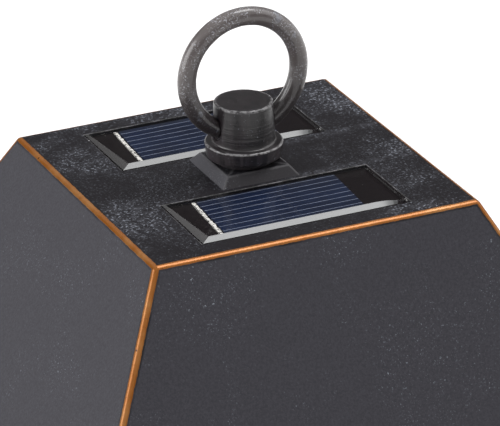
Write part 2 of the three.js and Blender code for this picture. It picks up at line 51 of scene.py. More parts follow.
print("frame loaded:", len(frame["nodes"]), "nodes")


# ---- camera, lights and floor ----

studio = {
    "azimuth": -24.5, "elevation": 24.53, "roll": -0.82, "distance": 1.262, "lens": 316.3, "sensor": 36,
    "clip": (0.01, 200), "aside": 1.647 * mm, "below": -13.02 * mm, "floorSize": 80, "floorTone": 0.88,
    # each light's azimuth, elevation, strength and width in degrees; the sky's tones by elevation
    "overheadLight": (99, 67, 1.5, 26), "keyLight": (-100, 16, 2.7, 50), "fillLight": (80, 25, 1.2, 60),
    "sky": ((1, 0.98), (4, 0.05), (27, 0.05), (33, 0.85)),
}


def towards(azimuth, elevation):
    # the direction at an angle round from the front and an angle up from the floor
    around, up = math.radians(azimuth), math.radians(elevation)
    return Vector((math.sin(around) * math.cos(up), -math.cos(around) * math.cos(up), math.sin(up)))


def placeCamera(target):
    back = towards(studio["azimuth"], studio["elevation"])
    roll = math.radians(studio["roll"])
    right = Vector((0, 0, 1)).cross(back).normalized()
    up = back.cross(right)
    turnedRight = math.cos(roll) * right + math.sin(roll) * up
    turnedUp = math.cos(roll) * up - math.sin(roll) * right
    place = target + studio["aside"] * turnedRight + studio["below"] * turnedUp + studio["distance"] * back
    data = bpy.data.cameras.new("camera")
    data.lens, data.sensor_width = studio["lens"], studio["sensor"]
    data.clip_start, data.clip_end = studio["clip"]
    camera = bpy.data.objects.new("camera", data)
    bpy.context.scene.collection.objects.link(camera)
    turn = Matrix((turnedRight, turnedUp, back)).transposed().to_4x4()
    camera.matrix_world = Matrix.Translation(place) @ turn
    bpy.context.scene.camera = camera


def addSun(name):
    azimuth, elevation, strength, width = studio[name]
    data = bpy.data.lights.new(name, "SUN")
    data.energy, data.angle = strength, math.radians(width)
    sun = bpy.data.objects.new(name, data)
    bpy.context.scene.collection.objects.link(sun)
    sun.rotation_euler = towards(azimuth, elevation).to_track_quat("Z", "Y").to_euler()


def lightStudio():
    for name in ("overheadLight", "keyLight", "fillLight"):
        addSun(name)
    world = bpy.data.worlds.new("studio")
    bpy.context.scene.world = world
    world.use_nodes = True
    tree = world.node_tree
    place = tree.nodes.new("ShaderNodeTexCoord")
    split = tree.nodes.new("ShaderNodeSeparateXYZ")
    ramp = tree.nodes.new("ShaderNodeValToRGB")
    while len(ramp.color_ramp.elements) < len(studio["sky"]):
        ramp.color_ramp.elements.new(0.5)
    for element, (elevation, tone) in zip(ramp.color_ramp.elements, studio["sky"]):
        element.position, element.color = math.sin(math.radians(elevation)), (tone, tone, tone, 1)
    tree.links.new(place.outputs["Generated"], split.inputs[0])
    tree.links.new(split.outputs["Z"], ramp.inputs[0])
    tree.links.new(ramp.outputs[0], tree.nodes["Background"].inputs["Color"])


# ---- shader maths ----

class Wire:
    # a node's output that can be used in an expression
    def __init__(self, tree, socket):
        self.tree, self.socket = tree, socket

    def maths(self, operation, *values):
        node = self.tree.nodes.new("ShaderNodeMath")
        node.operation = operation
        for target, value in zip(node.inputs, values):
            if isinstance(value, Wire):
                self.tree.links.new(value.socket, target)
            else:
                target.default_value = value
        return Wire(self.tree, node.outputs[0])

    def __add__(self, other):
        return self.maths("ADD", self, other)

    def __radd__(self, other):
        return self.maths("ADD", other, self)

    def __sub__(self, other):
        return self.maths("SUBTRACT", self, other)

    def __rsub__(self, other):
        return self.maths("SUBTRACT", other, self)

    def __mul__(self, other):
        return self.maths("MULTIPLY", self, other)

    def __rmul__(self, other):
        return self.maths("MULTIPLY", other, self)

    def __abs__(self):
        return self.maths("ABSOLUTE", self)

    def __mod__(self, other):
        return self.maths("FLOORED_MODULO", self, other)

    def root(self):
        return self.maths("SQRT", self)

    def least(self, other):
        return self.maths("MINIMUM", self, other)

    def most(self, other):
        return self.maths("MAXIMUM", self, other)

    def step(self, low, high):
        # 0 below low, 1 above high; the other way round where low is the larger
        node = self.tree.nodes.new("ShaderNodeMapRange")
        node.interpolation_type = "SMOOTHSTEP"
        self.tree.links.new(self.socket, node.inputs["Value"])
        node.inputs["From Min"].default_value = min(low, high)
        node.inputs["From Max"].default_value = max(low, high)
        node.inputs["To Min"].default_value = 0 if low < high else 1
        node.inputs["To Max"].default_value = 1 if low < high else 0
        return Wire(self.tree, node.outputs["Result"])


class Finish:
    # one material: its tree, its shader and its object coordinates
    def __init__(self, name, **constants):
        self.material = bpy.data.materials.new(name)
        self.material.use_nodes = True
        self.tree = self.material.node_tree
        self.shader = self.tree.nodes["Principled BSDF"]
        for label, value in constants.items():
            self.shader.inputs[label.replace("_", " ")].default_value = value
        self.place = self.node("ShaderNodeTexCoord", output="Object")

    def node(self, kind, settings=None, inputs=None, output=0):
        made = self.tree.nodes.new(kind)
        for label, value in (settings or {}).items():
            if label == "stops":
                self.setStops(made.color_ramp, value)
            else:
                setattr(made, label, value)
        for label, value in (inputs or {}).items():
            if isinstance(value, Wire):
                self.tree.links.new(value.socket, made.inputs[label])
            else:
                made.inputs[label].default_value = value
        return Wire(self.tree, made.outputs[output])

    def setStops(self, ramp, stops):
        while len(ramp.elements) < len(stops):
            ramp.elements.new(0.5)
        for element, (position, colour) in zip(ramp.elements, stops):
            element.position, element.color = position, (*colour, 1)

    def feed(self, **wires):
        for label, wire in wires.items():
            self.tree.links.new(wire.socket, self.shader.inputs[label.replace("_", " ")])

    def surface(self, shader):
        # a shader of its own in place of the usual one
        self.tree.links.new(shader.socket, self.tree.nodes["Material Output"].inputs["Surface"])
        return self.material

    def axis(self, letter, source=None):
        return self.node("ShaderNodeSeparateXYZ", inputs={0: source or self.place}, output=letter)

    def stretched(self, scale, shift=(0, 0, 0)):
        return self.node("ShaderNodeMapping", inputs={
            "Vector": self.place, "Scale": scale, "Location": shift})

    def noise(self, scale, detail=2, roughness=0.5, source=None, output="Fac"):
        inputs = {"Vector": source or self.place, "Scale": scale, "Detail": detail, "Roughness": roughness}
        return self.node("ShaderNodeTexNoise", inputs=inputs, output=output)

    def dots(self, scale, radius, share, source=None):
        # round specks on a share of the cells, each with a soft rim
        cells = {"Vector": source or self.place, "Scale": scale, "Randomness": 1}
        gap = self.node("ShaderNodeTexVoronoi", inputs=cells, output="Distance")
        tint = self.axis("X", self.node("ShaderNodeTexVoronoi", inputs=cells, output="Color"))
        return gap.step(radius, radius * 0.4) * tint.step(1 - share, 1 - share * 0.8)

    def mix(self, factor, first, second):
        return self.node("ShaderNodeMix", {"data_type": "RGBA"}, {0: factor, 6: first, 7: second}, 2)

    def bump(self, height, strength, distance):
        return self.node("ShaderNodeBump", inputs={
            "Height": height, "Strength": strength, "Distance": distance})


def grey(tone, tint=(1, 1, 1)):
    return (tone * tint[0], tone * tint[1], tone * tint[2], 1)


# ---- finishes ----

paintTones = {
    "slope": grey(0.045, (1.0, 0.97, 1.16)), "slopeDeep": grey(0.032, (1.0, 0.97, 1.16)),
    "plate": grey(0.007, (1.1, 0.92, 1.2)), "bloom": grey(0.06, (0.95, 0.96, 1.12)),
    "dust": grey(0.42, (0.90, 0.97, 1.12)), "outline": grey(0.008), "worn": grey(0.11, (1, 0.98, 1.02)),
    "plinth": grey(0.028, (1.03, 0.96, 1.08)), "rubbed": grey(0.058, (1, 0.98, 1.1)),
    "copper": (0.245, 0.083, 0.014, 1), "copperPale": (0.30, 0.132, 0.04, 1),
    "copperDark": (0.10, 0.033, 0.008, 1), "copperPit": (0.04, 0.016, 0.008, 1),
}

copperLook = {"metal": 0.35, "coat": 0.14, "coatRough": 0.12, "ragged": 0.55 * mm, "blur": 0.08 * mm}


def copperTone(finish):
    # rubbed on by hand: it drifts from orange to pale, with dark pits
    streak = finish.noise(75, 4, 0.6)
    rubbed = finish.noise(700, 3, 0.65).step(0.62, 0.8)
    pits = finish.dots(300, 0.13, 0.08)
    colour = finish.mix(streak.step(0.42, 0.68), paintTones["copper"], paintTones["copperPale"])
    colour = finish.mix(rubbed * 0.6, colour, paintTones["copperDark"])
    return finish.mix(pits, colour, paintTones["copperPit"]), 0.15 + streak * 0.12


def dustSpecks(finish):
    # fine specks, thicker inside slow clouds
    cloud = finish.noise(38, 4, 0.6)
    fine = finish.noise(1250, 2, 0.55).step(0.66, 0.76)
    finest = finish.noise(2000, 2, 0.6).step(0.6, 0.72)
    specks = fine * 0.7 + finish.dots(430, 0.15, 0.12) * 0.4 + finest * 0.35
    return specks * (0.12 + cloud.step(0.45, 0.64))


dustLook = {  # from where to where it thickens; swept is the strip between a pocket and the middle
    "right": (10 * mm, 32 * mm), "rear": (10 * mm, 32 * mm), "left": (27 * mm, 44 * mm),
    "leftFront": (-44 * mm, -22 * mm), "least": 0.2, "more": 0.8, "scratches": 0.3,
    "sweptFar": (-6 * mm, -1.2 * mm), "sweptNear": (-0.2 * mm, -0.5 * mm), "sweptAlong": (-8 * mm, 18 * mm),
}


def settledDust(finish, x, y):
    # it lies in drifts away from the post, with fine scratches through it
    drift = finish.noise(26, 5, 0.68, finish.stretched((1, 1, 0.2), (0.31, 0.12, 0)))
    leftSide = (x * -1).step(*dustLook["left"]) * y.step(*dustLook["leftFront"])
    spread = x.step(*dustLook["right"]).most(leftSide).most(y.step(*dustLook["rear"]))
    spread = spread * dustLook["more"] + dustLook["least"]
    crumbs = finish.noise(1300, 2, 0.6).step(0.55, 0.68) * 0.8 + finish.dots(1000, 0.28, 0.22) * 0.5
    scratch = finish.noise(90, 3, 0.6, finish.stretched((12, 2.2, 1), (0.1, 0.4, 0))).step(0.64, 0.72)
    cross = finish.noise(90, 3, 0.6, finish.stretched((2, 11, 1), (0.3, 0.2, 0))).step(0.64, 0.72)
    rim = abs(y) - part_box("panel_backing_rear")[0].y
    swept = rim.step(*dustLook["sweptFar"]) * rim.step(*dustLook["sweptNear"])
    swept = swept * x.step(*dustLook["sweptAlong"])
    bloom = (drift.step(0.42, 0.66) * spread).most(swept * 0.8) * finish.noise(420, 3, 0.7).step(0.3, 0.75)
    amount = ((drift.step(0.45, 0.62) * 0.85 + 0.15) * spread).most(swept * 0.4)
    return (crumbs + (scratch + cross) * dustLook["scratches"]) * amount, bloom


def castPaint(finish, specks):
    # how rough and how high the paint on a casting is, with its dust
    return 0.46 + finish.noise(300, 3, 0.7) * 0.12 + specks * 0.2, finish.noise(2600, 2, 0.6) + specks * 0.6


castBump = {"strength": 0.12, "distance": 0.25 * mm}


def roofPaint(plateTop):
    finish = Finish("roofPaint", Specular_IOR_Level=0.14, Coat_Roughness=copperLook["coatRough"])
    low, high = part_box("roof_shell")
    x, y, z = (finish.axis(letter) for letter in "XYZ")
    reach, skew = abs(x).most(abs(y)), abs(abs(x) - abs(y))

    def fromEdge(out, level):
        # how far a point is from the level edge that runs round the roof there
        return ((reach - out) * (reach - out) + (z - level) * (z - level)).root()

    # copper on the plate's edge, the hips and the eaves, with a dark line along it
    below = z.step(plateTop - 0.02 * mm, plateTop - 0.1 * mm)
    outer = below * reach.step(roof["plateHalf"] - 1.2 * mm, roof["plateHalf"] - 0.9 * mm)
    edges = (fromEdge(roof["plateHalf"], plateTop) - roof["copperPlate"]).least(
        skew * roof["hipSpread"] - roof["copperHip"] + (1 - outer))
    for level in (low.z, low.z + roof["bandHeight"]):
        edges = edges.least(fromEdge(high.x, level) - roof["copperEaves"])
    ragged = edges + (finish.noise(480, 3, 0.7) - 0.5) * copperLook["ragged"]
    copper = ragged.step(copperLook["blur"], -copperLook["blur"])
    outline = ragged.step(0.75 * mm, 0.3 * mm) * (0.35 + finish.noise(110, 3, 0.6).step(0.4, 0.65) * 0.5)

    # painted shade: the plate and the plinth's top are darker than the slopes; painted light: the plinth's
    # sides are lighter on the left
    plinth = z.step(plateTop + 0.1 * mm, plateTop + 0.25 * mm)
    crown = reach.step(roof["plinthTop"] - 0.1 * mm, roof["plinthTop"] - 0.4 * mm)
    onPlate = z.step(plateTop - 0.8 * mm, plateTop - 0.2 * mm) * (1 - plinth * (1 - crown))
    mottle = finish.noise(1500, 2, 0.6).step(0.25, 0.75)
    base = finish.mix(mottle, paintTones["slopeDeep"], paintTones["slope"])
    # painted shade: the plate is painted darker than the slopes
    base = finish.mix(onPlate, base, paintTones["plate"])
    # painted light: the plinth's sides are painted lighter on the left, where the key light falls
    rubbed = (x * -1 - abs(y)).step(-0.5 * mm, 0.5 * mm) * (0.6 + finish.noise(140, 4, 0.7) * 0.8)
    sides = finish.mix(rubbed, paintTones["plinth"], paintTones["rubbed"])
    base = finish.mix(plinth * (1 - crown), base, sides)

    settled, bloom = settledDust(finish, x, y)
    specks = (dustSpecks(finish) * 0.55 + settled * onPlate * 0.65).least(1)
    base = finish.mix(bloom * onPlate * 0.8, base, paintTones["bloom"])
    base = finish.mix(specks, base, paintTones["dust"])
    base = finish.mix(outline, base, paintTones["outline"])
    fromPlinth = fromEdge(roof["plinthTop"], plateTop + roof["plinthHeight"])
    fromPlinth = fromPlinth.least(skew * 0.7) + (finish.noise(400, 3, 0.7) - 0.5) * 0.9 * mm
    base = finish.mix(fromPlinth.step(0.7 * mm, 0 * mm) * plinth * 0.4, base, paintTones["worn"])
    colour, gloss = copperTone(finish)
    roughness, height = castPaint(finish, specks)
    finish.feed(
        Base_Color=finish.mix(copper, base, colour), Metallic=copper * copperLook["metal"],
        Coat_Weight=copper * copperLook["coat"], Roughness=roughness * (1 - copper) + gloss * copper,
        Normal=finish.bump(height + copper * 0.5, **castBump))
    return finish.material


def bodyPaint():
    finish = Finish("bodyPaint", Specular_IOR_Level=0.35)
    specks = dustSpecks(finish) * 0.5
    roughness, height = castPaint(finish, specks)
    finish.feed(
        Base_Color=finish.mix(specks.least(1), paintTones["slope"], paintTones["dust"]), Roughness=roughness,
        Normal=finish.bump(height, **castBump))
    return finish.material


def copperPaint():
    finish = Finish(
        "copperPaint", Metallic=copperLook["metal"], Specular_IOR_Level=0.3, Coat_Weight=copperLook["coat"],
        Coat_Roughness=copperLook["coatRough"])
    colour, gloss = copperTone(finish)
    finish.feed(
        Base_Color=colour, Roughness=gloss, Normal=finish.bump(finish.noise(900, 3, 0.6), 0.1, 0.2 * mm))
    return finish.material


def wornPaint():
    # where the paint has rubbed thin along an edge
    finish = Finish("wornPaint", Specular_IOR_Level=0.5)
    bare = finish.noise(260, 4, 0.7).step(0.46, 0.62)
    finish.feed(
        Base_Color=finish.mix(bare * 0.9, grey(0.025), grey(0.15, (1, 0.97, 1.04))),
        Roughness=0.4 + finish.noise(700) * 0.2)
    return finish.material


ironTones = {
    "paint": grey(0.014, (1.2, 0.92, 1.08)), "scuffed": grey(0.06, (1.04, 0.96, 1.02)),
    "lowPart": grey(0.045, (1.1, 0.95, 1.05)), "darkStreak": grey(0.006, (1.1, 0.95, 1.1)),
    "paleStreak": grey(0.06, (1.05, 0.96, 1.04)), "turned": grey(0.05, (1.05, 0.96, 1.04)),
    "worn": grey(0.2, (1, 0.97, 1)),
}


def ironPaint(flangeTop):
    # turned and painted, with the paint worn off the rims of its head and its flange
    finish = Finish("ironPaint", Specular_IOR_Level=0.5, Coat_Weight=0.15, Coat_Roughness=0.08)
    x, y, z = (finish.axis(letter) for letter in "XYZ")
    out = (x * x + y * y).root()
    grain = finish.noise(900, 2, 0.7)
    wornLevel = flangeTop - 0.2 * mm
    rims = (
        (post["head"] - 0.31 * mm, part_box("ring_post")[1].z - 0.15 * mm, post["headWear"]),
        (post["flange"] - 0.15 * mm, wornLevel, post["flangeWear"]))
    worn = []
    for rimOut, rimHeight, width in rims:
        away = ((out - rimOut) * (out - rimOut) + (z - rimHeight) * (z - rimHeight)).root()
        away = away + (finish.noise(260, 4, 0.7) - 0.5) * 1.2 * mm
        worn.append(away.step(width, width * 0.3))
    specks = finish.noise(1300, 2, 0.6).step(0.64, 0.76) * finish.noise(70, 3, 0.6).step(0.42, 0.62)
    scuff = finish.noise(60, 5, 0.7).step(0.5, 0.72) * grain.step(0.45, 0.7)
    turning = finish.noise(1100, 2, 0.7, finish.stretched((0.04, 0.04, 1)))
    # painted reflection: dark and pale upright bands down the post
    upright = finish.noise(230, 3, 0.6, finish.stretched((1, 1, 0.03), (0.21, 0.13, 0)))
    tone = finish.mix(scuff * 0.6, ironTones["paint"], ironTones["scuffed"])
    # painted light: below the flange's top the paint is lightened against the shade on the flange's side
    tone = finish.mix(z.step(wornLevel, wornLevel - 1 * mm) * 0.4, tone, ironTones["lowPart"])
    tone = finish.mix(upright.step(0.5, 0.4) * 0.8, tone, ironTones["darkStreak"])
    tone = finish.mix(upright.step(0.56, 0.7) * grain * 0.5, tone, ironTones["paleStreak"])
    tone = finish.mix(turning.step(0.5, 0.7) * 0.3, tone, ironTones["turned"])
    tone = finish.mix(worn[0].most(worn[1]) * grain.step(0.35, 0.6) * 0.9, tone, ironTones["worn"])
    finish.feed(
        Base_Color=finish.mix(specks * 0.45, tone, paintTones["dust"]),
        Roughness=0.22 + finish.noise(260, 3, 0.6) * 0.18,
        Normal=finish.bump(turning + scuff * 0.3, 0.4, 0.2 * mm))
    return finish.material


ringTones = {
    "low": grey(0.017, (1.2, 0.92, 0.98)), "high": grey(0.092, (1.15, 0.97, 0.94)),
    "patch": grey(0.21, (0.88, 0.96, 1.16)), "nick": grey(0.02, (1.1, 0.95, 0.95)),
    "speck": grey(0.5, (0.95, 0.98, 1.08)),
}


def ringPaint():
    # painted shade: the ring darkens towards its foot and is paler at its top, as the light falls on it
    finish = Finish("ringPaint", Specular_IOR_Level=0.4, Coat_Weight=0.6, Coat_Roughness=0.07)
    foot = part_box("hanging_ring")[0].z
    height = finish.axis("Z").step(foot + 5 * mm, foot + 27 * mm)
    blotch = finish.noise(95, 5, 0.68)
    rubbed = blotch.step(0.42, 0.56) * (0.15 + height * 0.85)
    specks = finish.noise(2100, 3, 0.7).step(0.53, 0.66) * rubbed * 0.7
    # painted highlight: pale bluish glints in patches
    patch = finish.noise(190, 4, 0.7, finish.stretched((1, 1, 1), (0.2, 0.1, 0.4))).step(0.58, 0.7)
    nicks = finish.noise(900, 2, 0.6).step(0.64, 0.74)
    # painted light and shade: paler with height, darker low down
    tone = finish.mix(height * (0.4 + blotch * 0.7), ringTones["low"], ringTones["high"])
    tone = finish.mix(patch * 0.5, tone, ringTones["patch"])
    tone = finish.mix(nicks * 0.6, tone, ringTones["nick"])
    finish.feed(
        Base_Color=finish.mix(specks.least(1), tone, ringTones["speck"]),
        Roughness=0.3 + blotch * 0.2, Normal=finish.bump(blotch + specks * 0.3 + nicks * 0.2, 0.45, 0.5 * mm))
    return finish.material


def panelBlack():
    finish = Finish("panelBlack", Specular_IOR_Level=0.12)
    nicks = finish.dots(500, 0.12, 0.05)
    finish.feed(
        Base_Color=finish.mix(nicks, grey(0.008, (1.25, 0.9, 1.05)), grey(0.3)),
        Roughness=0.3 + finish.noise(500) * 0.15)
    return finish.material


cellLook = {
    "pitch": 2.92 * mm, "line": 0.13 * mm, "firstLine": 0.45, "silicon": (0.003, 0.007, 0.024, 1),
    "sheen": (0.006, 0.015, 0.048, 1), "grain": (0.03, 0.035, 0.08, 1), "finger": (0.31, 0.35, 0.45, 1),
}


def siliconCell(low, high):
    finish = Finish("siliconCell", Specular_IOR_Level=0.25)
    across = abs(finish.axis("Y"))
    inner = min(abs(low.y), abs(high.y))
    phase = (across - inner - cellLook["pitch"] * cellLook["firstLine"]) % cellLook["pitch"]
    half = cellLook["pitch"] / 2
    fingers = (half - abs(phase - half)).step(cellLook["line"], cellLook["line"] * 0.35)
    sheen = finish.noise(45, 4, 0.6)
    grain = finish.noise(700, 2, 0.6, finish.stretched((0.25, 1, 1)))
    silicon = finish.mix(sheen.step(0.3, 0.75), cellLook["silicon"], cellLook["sheen"])
    silicon = finish.mix(grain.step(0.6, 0.8) * 0.3, silicon, cellLook["grain"])
    faint = finish.noise(240, 2, 0.5).step(0.25, 0.6)
    finish.feed(
        Base_Color=finish.mix(fingers * (0.65 + 0.35 * faint), silicon, cellLook["finger"]),
        Roughness=0.34 + finish.noise(300) * 0.1)
    return finish.material


def tinnedMetal():
    finish = Finish("tinnedMetal", Metallic=0.15, Specular_IOR_Level=0.7)
    lumps = finish.noise(1300, 3, 0.65)
    finish.feed(
        Base_Color=finish.mix(lumps.step(0.4, 0.47), grey(0.03), grey(1, (1, 0.98, 0.93))),
        Roughness=0.22 + lumps * 0.3, Normal=finish.bump(lumps, 0.5, 0.5 * mm))
    return finish.material


resinLook = {
    "index": 1.5, "bevelGloss": 1.7, "flatLess": 1.25, "roughness": 0.03, "haze": 0.0015, "scratch": 0.004,
}


def clearResin(top):
    # seen through, glossy by its angle, and less so on its flat top
    finish = Finish("clearResin", Base_Color=grey(0.75, (0.97, 1, 1.02)), Roughness=0.06)
    through = finish.node("ShaderNodeBsdfTransparent", inputs={"Color": grey(0.97)})
    flat = finish.axis("Z").step(top - 0.15 * mm, top - 0.05 * mm)
    gloss = finish.node("ShaderNodeFresnel", inputs={"IOR": resinLook["index"]})
    gloss = gloss * (resinLook["bevelGloss"] - flat * resinLook["flatLess"])
    haze = finish.noise(130, 4, 0.6).step(0.45, 0.8)
    scratch = finish.noise(160, 3, 0.7, finish.stretched((3, 12, 1))).step(0.68, 0.74)
    mirror = finish.node("ShaderNodeBsdfGlossy", inputs={
        "Color": grey(1), "Roughness": resinLook["roughness"]})
    share = (gloss + haze * resinLook["haze"] + scratch * resinLook["scratch"]).least(1)
    return finish.surface(finish.node("ShaderNodeMixShader", inputs={0: share, 1: through, 2: mirror}))


def resinEdge():
    # painted reflection: the front bevel is a flat light grey that stands in for the light it mirrors
    finish = Finish("resinEdge", Specular_IOR_Level=0.5)
    uneven = finish.noise(60, 2, 0.5)
    finish.feed(
        Base_Color=finish.mix(
            uneven.step(0.3, 0.7), grey(0.135, (0.98, 1, 1.02)), grey(0.165, (0.98, 1, 1.02))),
        Roughness=0.3 + uneven * 0.08)
    return finish.material


glassTones = {
    "streaks": [(0.3, (0.62, 0.30, 0.075)), (0.5, (0.80, 0.48, 0.16)), (0.7, (0.92, 0.72, 0.40))],
    "seed": (0.95, 0.85, 0.62, 1), "through": (0.90, 0.62, 0.30, 1),
}


def amberGlass():
    # rolled glass, streaked upwards, with small seeds; part clear, part milky
    finish = Finish("amberGlass", Roughness=0.16, Specular_IOR_Level=0.5)
    swirl = finish.noise(20, 5, 0.6, finish.stretched((1, 1, 0.4)), "Color")
    streaks = finish.axis("X", swirl)
    seeds = finish.dots(260, 0.14, 0.12)
    colour = finish.node("ShaderNodeValToRGB", {"stops": glassTones["streaks"]}, {0: streaks})
    finish.feed(
        Base_Color=finish.mix(seeds * 0.6, colour, glassTones["seed"]),
        Normal=finish.bump(streaks + finish.noise(90, 3) * 0.6 + seeds * 0.4, 0.35, 1.2 * mm))
    through = finish.node("ShaderNodeBsdfTransparent", inputs={"Color": glassTones["through"]})
    glow = finish.node("ShaderNodeBsdfTranslucent", inputs={"Color": colour})
    milky = finish.node("ShaderNodeMixShader", inputs={
        0: streaks.step(0.2, 0.9) * 0.3 + 0.28, 1: Wire(finish.tree, finish.shader.outputs[0]), 2: glow})
    return finish.surface(finish.node("ShaderNodeMixShader", inputs={
        0: 0.62 + streaks.step(0.35, 0.7) * 0.25, 1: through, 2: milky}))


def plainFinish(name, colour, roughness, grain=900, bump=0.1, **constants):
    # a moulded or rolled surface: a little unevenness in tone, gloss and height
    finish = Finish(name, **constants)
    uneven = finish.noise(grain, 3, 0.6)
    deep = tuple(c * 0.72 for c in colour[:3]) + (1,)
    finish.feed(
        Base_Color=finish.mix(uneven.step(0.3, 0.7), deep, colour),
        Roughness=roughness + (uneven - 0.5) * 0.2, Normal=finish.bump(uneven, bump, 0.15 * mm))
    return finish.material


def makeFinishes(plateTop, cellLow, cellHigh):
    return {
        "roof": roofPaint(plateTop), "body": bodyPaint(), "copper": copperPaint(), "worn": wornPaint(),
        "iron": ironPaint(flangeSpan(plateTop)[1]), "ring": ringPaint(), "panel": panelBlack(),
        "cell": siliconCell(cellLow, cellHigh), "tinned": tinnedMetal(),
        "resin": clearResin(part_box("cell_resin_rear")[1].z), "resinEdge": resinEdge(), "amber": amberGlass(),
        "steel": plainFinish("zincSteel", grey(0.55), 0.32, 1200, Metallic=0.95),
        "rubber": plainFinish("footRubber", grey(0.018), 0.8, 1500, 0.3),
        "plastic": plainFinish("blackPlastic", grey(0.02), 0.5, 2200, 0.25),
        "frosted": plainFinish("frostedPlastic", (0.85, 0.81, 0.72, 1), 0.55, 400),
        "whiteBoard": plainFinish("whiteBoard", grey(0.8), 0.4, 700),
        "greenBoard": plainFinish("greenBoard", (0.02, 0.14, 0.05, 1), 0.35, 800),
        "lead": plainFinish("leadInsulation", (0.42, 0.02, 0.015, 1), 0.4, 1000),
        "wrap": plainFinish("batteryWrap", (0.6, 0.62, 0.6, 1), 0.3, 600),
        "phosphor": plainFinish("phosphorLens", (0.9, 0.62, 0.12, 1), 0.15, 800, Coat_Weight=1.0),
    }


# ---- modelling ----

def deselectAll():
    if bpy.context.object and bpy.context.object.mode != "OBJECT":
        bpy.ops.object.mode_set(mode="OBJECT")
    bpy.ops.object.select_all(action="DESELECT")


def keepPrimitive(name, *finishes):
    piece = bpy.context.object
    piece.name = piece.data.name = name
    bpy.ops.object.transform_apply(location=True, rotation=True, scale=True)
    for finish in finishes:
        piece.data.materials.append(finish)
    return piece


def addBlock(name, low, high, *finishes):
    deselectAll()
    low, high = Vector(low), Vector(high)
    bpy.ops.mesh.primitive_cube_add(size=1, location=(low + high) / 2)
    bpy.context.object.scale = high - low
    return keepPrimitive(name, *finishes)


def choose(piece):
    deselectAll()
    piece.select_set(True)
    bpy.context.view_layer.objects.active = piece


def openEdit(piece, kind):
    choose(piece)
    bpy.ops.object.mode_set(mode="EDIT")
    bpy.ops.mesh.select_mode(type=kind)
    bpy.ops.mesh.select_all(action="DESELECT")
    return bmesh.from_edit_mesh(piece.data)


def pickFaces(piece, test):
    # test takes a face's middle and its normal
    mesh = openEdit(piece, "FACE")
    mesh.normal_update()
    for face in mesh.faces:
        face.select_set(bool(test(face.calc_center_median(), face.normal)))
    bmesh.update_edit_mesh(piece.data)


def pickEdges(piece, test):
    # test takes an edge's two ends
    mesh = openEdit(piece, "EDGE")
    for edge in mesh.edges:
        edge.select_set(bool(test(edge.verts[0].co, edge.verts[1].co)))
    bmesh.update_edit_mesh(piece.data)


def pickVerts(piece, test):
    # test takes a corner's place
    mesh = openEdit(piece, "VERT")
    for vert in mesh.verts:
        vert.select_set(bool(test(vert.co)))
    bmesh.update_edit_mesh(piece.data)


def shiftVerts(piece, shift):
    # shift takes a corner's place and gives how far it moves
    mesh = openEdit(piece, "VERT")
    for vert in mesh.verts:
        vert.co += Vector(shift(vert.co))
    bmesh.update_edit_mesh(piece.data)
    bpy.ops.object.mode_set(mode="OBJECT")


def extrude(shift, scale=None, centre=(0, 0, 0)):
    bpy.ops.mesh.extrude_region_move(TRANSFORM_OT_translate={"value": shift})
    if scale:
        bpy.ops.transform.resize(value=scale, center_override=centre)


def bevelEdges(piece, test, width, segments=3, finish=-1):
    pickEdges(piece, test)
    bpy.ops.mesh.bevel(offset=width, segments=segments, affect="EDGES", clamp_overlap=True, material=finish)
    bpy.ops.object.mode_set(mode="OBJECT")


def splitFaces(piece, test, place, normal):
    pickFaces(piece, test)
    bpy.ops.mesh.bisect(plane_co=place, plane_no=normal)
    bpy.ops.object.mode_set(mode="OBJECT")


def turnProfile(name, profile, sides, *finishes):
    # a round piece raised ring by ring from its lowest, flat end
    deselectAll()
    radius, height = profile[0]
    bpy.ops.mesh.primitive_circle_add(
        vertices=sides, radius=radius, fill_type="NGON", location=(0, 0, height))
    piece = keepPrimitive(name, *finishes)
    pickFaces(piece, lambda centre, normal: True)
    for nextRadius, nextHeight in profile[1:]:
        extrude((0, 0, nextHeight - height))
        if abs(nextRadius - radius) > tiny:
            growth = nextRadius / radius
            bpy.ops.transform.resize(value=(growth, growth, 1), center_override=(0, 0, nextHeight))
        radius, height = nextRadius, nextHeight
    closeSurface(piece)
    return piece


def closeSurface(piece):
    if bpy.context.object.mode != "EDIT":
        openEdit(piece, "VERT")
    bpy.ops.mesh.select_all(action="SELECT")
    bpy.ops.mesh.remove_doubles(threshold=tiny)
    bpy.ops.mesh.normals_make_consistent(inside=False)
    bpy.ops.object.mode_set(mode="OBJECT")


def movePiece(piece, shift=(0, 0, 0), turn=None):
    choose(piece)
    if turn:
        piece.rotation_euler = turn
    piece.location = shift
    bpy.ops.object.transform_apply(location=True, rotation=True, scale=True)
    return piece


def copyPiece(piece, name):
    made = piece.copy()
    made.data = piece.data.copy()
    made.name = made.data.name = name
    bpy.context.scene.collection.objects.link(made)
    return made


def applyModifier(piece, kind, **settings):
    choose(piece)
    modifier = piece.modifiers.new(kind.lower(), kind)
    for label, value in settings.items():
        setattr(modifier, label, value)
    bpy.ops.object.modifier_apply(modifier=modifier.name)


def combine(piece, tool, operation="DIFFERENCE"):
    applyModifier(piece, "BOOLEAN", operation=operation, object=tool, solver="EXACT")
    bpy.data.objects.remove(tool)


def finishPiece(piece, body, slot, *nodes, smooth=35):
    choose(piece)
    bpy.ops.object.shade_smooth_by_angle(angle=math.radians(smooth))
    applyModifier(piece, "WEIGHTED_NORMAL", keep_sharp=True)
    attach(piece, body)
    if nodes:
        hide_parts(*nodes)
    return piece


# ---- roof ----

roof = {
    "plateHalf": 50 * mm, "bandHeight": 7 * mm, "plinthHalf": 12.25 * mm, "plinthTop": 9.75 * mm,
    "plinthHeight": 3.05 * mm, "wallAcross": 2.72 * mm, "pocketGap": 0.3 * mm, "pocketPan": 2 * mm,
    "nutRoom": 8 * mm, "arris": 1.15 * mm, "copperPlate": 1.0 * mm, "copperHip": 1.35 * mm,
    "hipSpread": 0.9, "copperEaves": 0.95 * mm, "wornWidth": 0.28 * mm, "plinthRound": 0.7 * mm,
}


